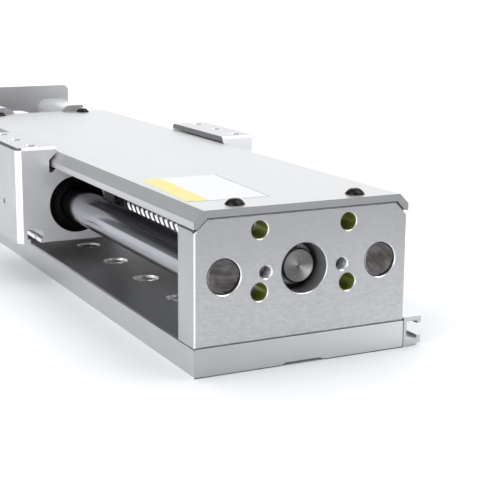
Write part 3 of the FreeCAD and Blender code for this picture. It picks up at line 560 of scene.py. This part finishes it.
def cut_steel():
    """Faced ends of the hardened shafts: brown grey, with faint scratches that run level on the
    left one and steep on the right one, and a painted shadow crescent at the lower right edge of
    each near end."""
    made = new_material("shaft_end_steel", (0.10, 0.09, 0.085), 1.0, 0.38)
    left = below(made, coordinate(made, "X"), 0)
    right = maths(made, "SUBTRACT", 1.0, left)
    level = noise(made, 900, (0.10, 1, 1.0), detail=6, turn=8)
    steep = noise(made, 900, (1.0, 1, 0.10), detail=6, turn=-52)
    scratches = maths(made, "ADD", all_of(made, left, level), all_of(made, right, steep))
    cloud = noise(made, 160, detail=3)
    both = maths(made, "ADD", all_of(made, scratches, 0.45), all_of(made, cloud, 0.55))
    tint(made, both, (0.040, 0.033, 0.030), (0.165, 0.155, 0.15), start=0.36, stop=0.64)
    relief(made, scratches, strength=0.25, depth=0.02)

    # A dark crescent at the lower right edge of each near end: painted shadow.
    near = near_half(made)
    shadow_x, shadow_z, shadow_r = 2.6, -2.9, 3.6
    unshaded_r = 5.1
    for side in (-1, 1):
        shadow_crescent = within(made, "XZ", [(side * SHAFT_X + shadow_x, AXIS_Z + shadow_z)], shadow_r)
        middle = within(made, "XZ", [(side * SHAFT_X, AXIS_Z)], unshaded_r)
        edge = maths(made, "SUBTRACT", 1.0, middle)
        over(made, all_of(made, shadow_crescent, edge, near), (0.02, 0.02, 0.02), roughness=0.4)
    return made


def turned_steel():
    """Turned end face with fine rings about the screw's axis and a painted fan-shaped sheen."""
    made = new_material("turned_end_steel", (0.20, 0.20, 0.20), 1.0, 0.32, {"Anisotropic": 0.85})
    across = coordinate(made, "X")
    up = maths(made, "SUBTRACT", coordinate(made, "Z"), AXIS_Z)
    squares = maths(made, "ADD", maths(made, "POWER", across, 2), maths(made, "POWER", up, 2))
    ring_pitch = 0.28
    phase = maths(made, "MULTIPLY", maths(made, "SQRT", squares), 2 * math.pi / ring_pitch)
    rings = maths(made, "SINE", phase)
    grain = noise(made, 2400, detail=4)
    tint(made, grain, (0.09, 0.09, 0.09), (0.21, 0.21, 0.205))

    # A bright fan towards the lower right of the face: painted sheen.
    fan_x, fan_z = 0.84, -0.54
    along = maths(made, "ADD", all_of(made, across, fan_x), all_of(made, up, fan_z))
    cosine_squared = maths(made, "DIVIDE", maths(made, "POWER", along, 2), squares)
    painted_sheen = maths(made, "POWER", cosine_squared, 4)
    outward = spread(made, along, 0.05, 0.95, start=-JOURNAL_R, stop=JOURNAL_R)
    over(made, all_of(made, painted_sheen, outward), (0.62, 0.62, 0.61), roughness=0.34)
    relief(made, maths(made, "ADD", rings, all_of(made, grain, 0.6)), strength=0.35, depth=0.01)

    place = node(made, "ShaderNodeTexCoord")
    away = node(made, "ShaderNodeVectorMath", operation="SUBTRACT")
    away.inputs[1].default_value = (0, 0, AXIS_Z * MM)
    round_it = node(made, "ShaderNodeVectorMath", operation="CROSS_PRODUCT")
    round_it.inputs[1].default_value = (0, 1, 0)
    link(made, place.outputs["Object"], away.inputs[0])
    link(made, away.outputs["Vector"], round_it.inputs[0])
    link(made, round_it.outputs["Vector"], shader_of(made).inputs["Tangent"])
    return made


def black_oxide():
    made = new_material("black_oxide", (0.020, 0.017, 0.015), 0.75, 0.24)
    fine = noise(made, 1800)
    tint(made, fine, (0.012, 0.010, 0.009), (0.032, 0.027, 0.024))
    relief(made, fine, strength=0.25, depth=0.01)
    return made


def nitrile():
    made = new_material("black_nitrile", (0.003, 0.003, 0.003), 0.0, 0.5,
                        {"Specular IOR Level": 0.06})
    fine = noise(made, 1500)
    tint(made, fine, (0.002, 0.002, 0.002), (0.005, 0.005, 0.006))
    relief(made, fine, strength=0.3, depth=0.02)
    return made


def elastomer():
    made = new_material("red_elastomer", (0.42, 0.03, 0.02), 0.0, 0.4, {"Subsurface Weight": 0.1})
    fine = noise(made, 500)
    tint(made, fine, (0.34, 0.02, 0.014), (0.50, 0.04, 0.025))
    relief(made, fine, strength=0.2, depth=0.02)
    return made


ROUND = (0.2, 1, 0.2)
BEARING_FINISH = ground_steel("bearing_ground", (0.62, 0.62, 0.63), 0.22, ROUND, grain=2400)
# Near bearing's outer ring painted nearly black, as painted shade.
SHADED_BEARING_FINISH = ground_steel("bearing_painted_shade", (0.05, 0.05, 0.05), 0.35, ROUND, grain=2400)
NUT_FINISH = ground_steel("nut_ground", (0.16, 0.16, 0.165), 0.28, ROUND, grain=2400)
HUB_FINISH = ground_steel("hub_turned", (0.72, 0.72, 0.73), 0.25, ROUND, grain=2600)
SHAFT_FINISH = ground_steel("shaft_chrome", (0.38, 0.385, 0.41), 0.15, (0.1, 1, 0.1), grain=3000,
                            contrast=0.03)
SHAFT_END_FINISH = cut_steel()
SCREW_FINISH = ground_steel("screw_polished", (0.92, 0.92, 0.91), 0.18, (0.3, 1, 0.3), grain=2000)
# The thread's lands are painted dark, as painted shade on shiny steel.
SHADED_LAND_FINISH = ground_steel("thread_land_shaded", (0.22, 0.22, 0.22), 0.30, (0.3, 1, 0.3), grain=2000)
SCREW_END_FINISH = turned_steel()
BLACK = black_oxide()
# Lighter rims round the screws' sockets: painted highlight.
RIM_HIGHLIGHT = ground_steel("rim_painted_highlight", (0.40, 0.36, 0.33), 0.40, (1, 1, 1), grain=2400, contrast=0.3)
RUBBER = nitrile()
BLOCK_FINISH = block_aluminium()

NODE_FINISH = {
    "base_plate": base_aluminium(),
    "near_end_block": BLOCK_FINISH,
    "far_end_block": BLOCK_FINISH,
    "top_cover": cover_aluminium(),
    "sensor_rail": rail_aluminium(),
    "carriage_body": carriage_aluminium(),
    "motor_bracket": bracket_aluminium(),
    "screw_side_hub": HUB_FINISH,
    "motor_side_hub": HUB_FINISH,
    "ball_nut": NUT_FINISH,
    "bearing_locknut": NUT_FINISH,
    "coupling_spider": elastomer(),
    "shaft_set_screws": BLACK,
    "bracket_screws": BLACK,
    "coupling_screws": BLACK,
    # The near bearing's rings are darker than the far bearing's: painted shade.
    "near_bearing_inner_ring": NUT_FINISH,
    "near_bearing_outer_ring": SHADED_BEARING_FINISH,
    "far_bearing_inner_rings": BEARING_FINISH,
    "far_bearing_outer_rings": BEARING_FINISH,
    "left_front_bushing": BEARING_FINISH,
    "left_rear_bushing": BEARING_FINISH,
    "right_front_bushing": BEARING_FINISH,
    "right_rear_bushing": BEARING_FINISH,
}

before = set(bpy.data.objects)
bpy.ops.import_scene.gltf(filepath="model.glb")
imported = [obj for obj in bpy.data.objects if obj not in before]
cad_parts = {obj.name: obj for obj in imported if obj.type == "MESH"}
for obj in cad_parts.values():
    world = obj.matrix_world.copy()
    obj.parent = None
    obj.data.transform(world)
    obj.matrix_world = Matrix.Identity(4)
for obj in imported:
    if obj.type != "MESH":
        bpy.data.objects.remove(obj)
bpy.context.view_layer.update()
for name, finish in NODE_FINISH.items():
    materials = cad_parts[name].data.materials
    materials.clear()
    materials.append(finish)


# Guide shafts, with thinner ends in the blocks

def guide_shaft(side):
    bm = bmesh.new()
    shoulder_chamfer, ease = 0.2, 0.1
    half = [
        (SHAFT_R, 0), (SHAFT_R, SHAFT_SHOULDER - shoulder_chamfer),
        (SHAFT_R - shoulder_chamfer, SHAFT_SHOULDER), (SHAFT_END_R, SHAFT_SHOULDER),
        (SHAFT_END_R, SHAFT_END - SHAFT_CHAMFER - 1.5 * ease),
        (SHAFT_END_R - ease, SHAFT_END - SHAFT_CHAMFER + ease),
        (SHAFT_END_R - SHAFT_CHAMFER, SHAFT_END),
    ]
    profile = [(radius, -y) for radius, y in half[::-1]] + half[1:]
    lathe(bm, along_y(side * SHAFT_X, 0, AXIS_Z), profile, count=96)
    for face in bm.faces:
        if len(face.verts) > 4:
            face.material_index = 1
    word = "left" if side < 0 else "right"
    piece = keep("%s_shaft" % word, bm, SHAFT_FINISH, SHAFT_END_FINISH)
    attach(piece, "stage_base")
    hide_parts("%s_guide_shaft" % word)


guide_shaft(-1)
guide_shaft(1)


# Ball screw with its ball groove

def groove_profile():
    """Points over one lead of the thread: a land, then the groove's arc."""
    land = LEAD - GROOVE_WIDE
    edge_wide, edge_deep = LAND_EDGE
    points = [(0.0, SCREW_R - edge_deep), (edge_wide, SCREW_R), (land - edge_wide, SCREW_R),
              (land, SCREW_R - edge_deep)]
    steps = 8
    for step in range(1, steps):
        across = 2 * step / steps - 1
        points.append((land + GROOVE_WIDE * step / steps,
                       SCREW_R - edge_deep - GROOVE_DEEP * (1 - across * across) ** 0.6))
    return points


def thread(bm):
    """Right-hand thread, longer than it has to be and then cut flat and closed at both ends."""
    turns = round((THREAD_STOP - THREAD_START) / LEAD) + 3
    start = THREAD_START - LEAD * 1.5
    profile = groove_profile()
    columns = []
    for step in range(turns * TURN_STEPS + 1):
        angle = 2 * math.pi * step / TURN_STEPS
        rise = start + LEAD * step / TURN_STEPS
        columns.append([
            bm.verts.new((radius * math.sin(angle), rise + shift,
                          AXIS_Z + radius * math.cos(angle)))
            for shift, radius in profile])
    for first, second in zip(columns, columns[1:]):
        for index in range(len(profile) - 1):
            bm.faces.new((first[index], second[index], second[index + 1], first[index + 1]))
    for index in range(len(columns) - TURN_STEPS - 1):
        here, after = columns[index], columns[index + 1]
        next_turn, after_next = columns[index + TURN_STEPS], columns[index + TURN_STEPS + 1]
        bm.faces.new((here[-1], after[-1], after_next[0], next_turn[0]))
    for station, keep_side in ((THREAD_START, 1), (THREAD_STOP, -1)):
        everything = bm.verts[:] + bm.edges[:] + bm.faces[:]
        cut = bmesh.ops.bisect_plane(bm, geom=everything, plane_co=(0, station, 0),
                                     plane_no=(0, keep_side, 0), clear_inner=True)
        rim = [item for item in cut["geom_cut"] if isinstance(item, bmesh.types.BMVert)]
        rim.sort(key=lambda vert: math.atan2(vert.co.z - AXIS_Z, vert.co.x))
        bm.faces.new(rim)


def ball_screw():
    bm = bmesh.new()
    thread(bm)
    place = along_y(0, 0, AXIS_Z)
    centre_mark = [(radius, SCREW_START + deep) for radius, deep in CENTRE_MARK]
    lathe(bm, place, centre_mark + [
        (JOURNAL_R - SCREW_CHAMFER, SCREW_START), (JOURNAL_R, SCREW_START + SCREW_CHAMFER),
        (JOURNAL_R, THREAD_START + JOURNAL_OVERLAP),
    ])
    lathe(bm, place, [
        (JOURNAL_R, THREAD_STOP - JOURNAL_OVERLAP), (JOURNAL_R, JOURNAL_STOP),
        (DRIVE_R, JOURNAL_STOP), (DRIVE_R, SCREW_STOP - SCREW_CHAMFER),
        (DRIVE_R - SCREW_CHAMFER, SCREW_STOP),
    ])
    axis = Vector((0, 0, AXIS_Z))
    # The end takes the turned finish; the thread's lands take the dark finish of painted shade.
    for face in bm.faces:
        centre = face.calc_center_median()
        if centre.y < SCREW_START + SCREW_CHAMFER + 0.1:
            face.material_index = 1
        elif ((centre - axis) * Vector((1, 0, 1))).length > SCREW_R - 0.1:
            face.material_index = 2
    piece = keep("grooved_ball_screw", bm, SCREW_FINISH, SCREW_END_FINISH, SHADED_LAND_FINISH, sharp=35)
    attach(piece, "spindle")
    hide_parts("ball_screw")


ball_screw()


# Screws with hexagon sockets. A profile runs from the shank's tip over the head's top face
# into the socket, so its fourth point from the end is the rim of the socket.

RIM_POINT = -4
RIM_DEEP = 0.22
SOCKET_MOUTH = 1.2
SOCKET_CONE = 0.45
BUTTON_FLAT = 1.28
BUTTON_RIM = 0.12


def fasteners(name, node_name, body, places, profile, count=48, sharp=30):
    """One piece of like screws, in place of a node, with a painted highlight on the rim round each
    socket. Each place is a centre and a direction."""
    bm = bmesh.new()
    rim, top = profile[RIM_POINT][:2]
    for centre, direction in places:
        old = set(bm.faces)
        lathe(bm, facing(*centre, direction), profile, count)
        for face in set(bm.faces) - old:
            away = face.calc_center_median() - Vector(centre)
            height = away.dot(Vector(direction))
            across = (away - Vector(direction) * height).length
            if top - RIM_DEEP < height < top - HAIR and across < rim - HAIR:
                face.material_index = 1
    piece = keep(name, bm, BLACK, RIM_HIGHLIGHT, sharp=sharp)
    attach(piece, body)
    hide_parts(node_name)


def socket_profile(flats, top, deep):
    """Points from the head's top face down to a hexagon socket's floor and its drilled cone."""
    return [(flats / 2 * SOCKET_MOUTH, top), (0, top - RIM_DEEP, flats), (0, top - deep, flats),
            (0.05, top - deep - SOCKET_CONE)]


def button_profile(shank, long, head, high, flats, deep):
    """Domed head. Its crown is an arc from the head's rim to the flat round the socket."""
    flat = flats / 2 * BUTTON_FLAT
    rise = high - BUTTON_RIM
    centre = ((flat ** 2 + high ** 2) - ((head / 2) ** 2 + BUTTON_RIM ** 2)) / (2 * rise)
    radius = math.hypot(flat, high - centre)
    crown = []
    steps = 8
    for step in range(steps + 1):
        reach = head / 2 + (flat - head / 2) * step / steps
        crown.append((reach, centre + math.sqrt(radius ** 2 - reach ** 2)))
    tip_in, tip_long, foot = 0.4, 0.5, 0.15
    body = [(shank / 2 - tip_in, -long), (shank / 2, -long + tip_long), (shank / 2, 0),
            (head / 2 - foot, 0)]
    return body + crown + socket_profile(flats, high, deep)


BLOCK_CAP = [(2.0, -16), (2.5, -15.5), (2.5, 0), (4.0, 0), (4.25, 0.3), (4.25, 4.6), (3.9, 5.0)]
NUT_CAP = [(1.2, -12), (1.5, -11.7), (1.5, 0), (2.6, 0), (2.75, 0.15), (2.75, 2.8), (2.5, 3.0)]
RAIL_FLAT = [(0.7, -6), (1.0, -5.6), (1.0, -0.9), (1.87, -0.05), (1.85, 0.0)]
NUT_SCREW_Y = CARRIAGE_Y + CARRIAGE_HALF - 3.2

fasteners("button_head_screws", "cover_screws", "stage_base",
          [((x, y, COVER_TOP), (0, 0, 1))
           for x in (-COVER_SCREW_X, COVER_SCREW_X) for y in (-BLOCK_Y, BLOCK_Y)],
          button_profile(shank=4, long=8, head=6.8, high=1.8, flats=2.5, deep=1.1))
fasteners("block_cap_screws", "end_block_screws", "stage_base",
          [((x, y, 5.2), (0, 0, -1)) for x in (-20, 20) for y in (-BLOCK_Y, BLOCK_Y)],
          BLOCK_CAP + socket_profile(flats=4, top=5.0, deep=2.5))
fasteners("nut_cap_screws", "ball_nut_screws", "carriage",
          [((x, NUT_SCREW_Y, AXIS_Z + z), (0, 1, 0)) for x in (-11.8, 11.8) for z in (-10.8, 10.8)],
          NUT_CAP + socket_profile(flats=2.5, top=3.0, deep=1.4))
fasteners("rail_flat_screws", "sensor_rail_screws", "stage_base",
          [((41.5, 66 * row, 6.0), (1, 0, 0)) for row in range(-2, 3)],
          RAIL_FLAT + socket_profile(flats=1.3, top=0.0, deep=0.7))


# Wiper seals. Their section starts at the back, beside the shaft, and goes round the outside;
# the face dips between the rim and the lip.

WIPER = [
    (7.06, -3.0), (SEAL_R, -3.0), (SEAL_R, -0.25), (11.9, -0.07), (11.7, 0.0), (11.3, 0.0),
    (11.05, -0.1), (10.9, -0.35), (10.3, -0.75), (10.0, -0.8), (9.3, -0.8), (9.0, -0.7),
    (8.2, -0.2), (8.0, -0.05), (7.8, 0.0), (7.5, -0.03), (7.25, -0.2), (7.06, -0.6),
]


def wiper_seal(side, end):
    bm = bmesh.new()
    place = facing(side * SHAFT_X, CARRIAGE_Y + end * CARRIAGE_HALF, AXIS_Z, (0, end, 0))
    lathe(bm, place, WIPER, count=96, closed=True)
    name = "%s_%s" % ("left" if side < 0 else "right", "front" if end < 0 else "rear")
    piece = keep(name + "_wiper", bm, RUBBER, sharp=50)
    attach(piece, "carriage")
    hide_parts(name + "_seal")


for side in (-1, 1):
    for end in (-1, 1):
        wiper_seal(side, end)


# Blank sticker on the cover, with a plain yellow strip along its left side and a line of painted
# shade just inside its right edge

STICKER_SPOT = (-18.9, -104.8)
STICKER_TURN = -3.1
STICKER_HALF = (14.9, 23.6)
STICKER_THICK = 0.08
STICKER_CORNER = 0.8
STRIP_WIDE = 7.6
EDGE_SHADE_WIDE = 0.45


def sticker():
    turn = Matrix.Rotation(math.radians(STICKER_TURN), 4, "Z")
    place = Matrix.Translation((*STICKER_SPOT, COVER_TOP)) @ turn
    wide, long = STICKER_HALF
    paper = new_material("sticker_paper", (0.75, 0.75, 0.76), 0.0, 0.5)
    tint(paper, noise(paper, 700), (0.73, 0.73, 0.74), (0.77, 0.77, 0.78))
    yellow = new_material("sticker_strip", (0.78, 0.68, 0.24), 0.0, 0.5)
    tint(yellow, noise(yellow, 700), (0.76, 0.66, 0.22), (0.80, 0.70, 0.27))
    # A dark line just inside the right edge: painted shade.
    edge_shade = new_material("sticker_edge_shade", (0.12, 0.12, 0.13), 0.0, 0.4)
    tint(edge_shade, noise(edge_shade, 700), (0.10, 0.10, 0.11), (0.14, 0.14, 0.15))
    bm = bmesh.new()
    columns = [-wide, -wide + STRIP_WIDE, wide - 2 * EDGE_SHADE_WIDE, wide - EDGE_SHADE_WIDE, wide]
    inks = (1, 0, 2, 0)
    for height, flip in ((0.0, True), (STICKER_THICK, False)):
        rows = []
        for x in columns:
            cut = STICKER_CORNER if abs(x) == wide else 0
            rows.append([bm.verts.new(place @ Vector((x, y, height)))
                         for y in (-long + cut, long - cut)])
        for index, ink in enumerate(inks):
            corners = [rows[index][0], rows[index + 1][0], rows[index + 1][1], rows[index][1]]
            face = bm.faces.new(corners[::-1] if flip else corners)
            face.material_index = ink
    bm.verts.ensure_lookup_table()
    count = len(columns)
    lower, upper = bm.verts[:2 * count], bm.verts[2 * count:]
    order = [2 * step for step in range(count)] + [2 * step + 1 for step in reversed(range(count))]
    skin(bm, [lower[step] for step in order], [upper[step] for step in order])
    piece = keep("blank_sticker", bm, paper, yellow, edge_shade)
    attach(piece, "stage_base")


sticker()


# Floor, studio light and camera

FLOOR_HALF = 30000


def floor():
    bm = bmesh.new()
    bmesh.ops.create_grid(bm, x_segments=8, y_segments=8, size=FLOOR_HALF)
    made = new_material("pale_floor", (0.93, 0.935, 0.95), 0.0, 0.9, {"Specular IOR Level": 0.0})
    tint(made, noise(made, 40), (0.93, 0.935, 0.95), (0.94, 0.945, 0.96))
    piece = keep("floor", bm, made)


floor()


def sky():
    """Studio: a bright backdrop low all round, a dim ceiling, soft boxes above and at the left,
    and dark panels behind the camera and across from it that the metal mirrors."""
    world = bpy.data.worlds.new("studio")
    bpy.context.scene.world = world
    world.use_nodes = True
    background = world.node_tree.nodes["Background"]
    background.inputs["Color"].default_value = (0.97, 0.985, 1.0, 1)
    place = node(world, "ShaderNodeTexCoord").outputs["Generated"]

    def towards(direction, start, stop, low, high):
        """Goes from low to high as the cosine of the angle to a direction passes two values."""
        dot = node(world, "ShaderNodeVectorMath", operation="DOT_PRODUCT")
        dot.inputs[1].default_value = Vector(direction).normalized()
        link(world, place, dot.inputs[0])
        return spread(world, dot.outputs["Value"], low, high, start, stop,
                      interpolation_type="SMOOTHSTEP")

    walls = towards((0, 0, 1), 0.30, 0.42, low=1.7, high=0.5)
    behind_camera = towards((0.44, -0.87, 0), 0.1, 0.8, low=1.0, high=0.15)
    dark_panel = towards((-0.45, 0.85, 0.27), 0.87, 0.95, low=1.0, high=0.15)
    above_panel = towards((-0.42, 0.80, 0.43), 0.955, 0.975, low=1.0, high=0.25)
    overhead = towards((0.44, -0.21, 0.87), 0.90, 0.96, low=0.0, high=2.2)
    left = towards((-0.72, -0.10, 0.66), 0.93, 0.97, low=0.0, high=2.5)
    total = all_of(world, walls, behind_camera, dark_panel, above_panel)
    total = maths(world, "ADD", maths(world, "ADD", total, overhead), left)
    link(world, total, background.inputs["Strength"])


sky()


def lamp(name, kind, energy, spot, aim, **settings):
    """Soft lamp that lights the floor and the faces but stays out of reflections."""
    data = bpy.data.lights.new(name, kind)
    data.energy = energy
    data.color = (0.98, 0.99, 1.0)
    for key, value in settings.items():
        setattr(data, key, value)
    made = bpy.data.objects.new(name, data)
    made.location = spot
    made.rotation_euler = (Vector(aim) - Vector(spot)).to_track_quat("-Z", "Y").to_euler()
    made.visible_glossy = False
    bpy.context.collection.objects.link(made)


lamp("overhead_sky", "SUN", 1.4, (0.2, 1.6, 2.6), (0, 0, 0), angle=math.radians(80))
lamp("front_panel", "AREA", 1.4, (-0.5, -1.35, 0.3), (0, 0, 0), size=1.0)


def camera():
    turn = math.radians(CAMERA_AZIMUTH)
    dip = math.radians(CAMERA_DIP)
    roll = math.radians(CAMERA_ROLL)
    level = math.cos(dip)
    ahead = Vector((-math.sin(turn) * level, math.cos(turn) * level, -math.sin(dip)))
    right = ahead.cross(UP).normalized()
    upward = right.cross(ahead)
    data = bpy.data.cameras.new("camera")
    data.lens = CAMERA_LENS
    data.sensor_width = CAMERA_SENSOR
    data.clip_end = CAMERA_REACH
    eye = bpy.data.objects.new("camera", data)
    eye.matrix_world = Matrix((
        right * math.cos(roll) + upward * math.sin(roll),
        upward * math.cos(roll) - right * math.sin(roll),
        -ahead,
    )).transposed().to_4x4()
    eye.location = CAMERA_SPOT
    bpy.context.collection.objects.link(eye)
    bpy.context.scene.camera = eye


camera()
bpy.context.scene.view_settings.view_transform = "Standard"
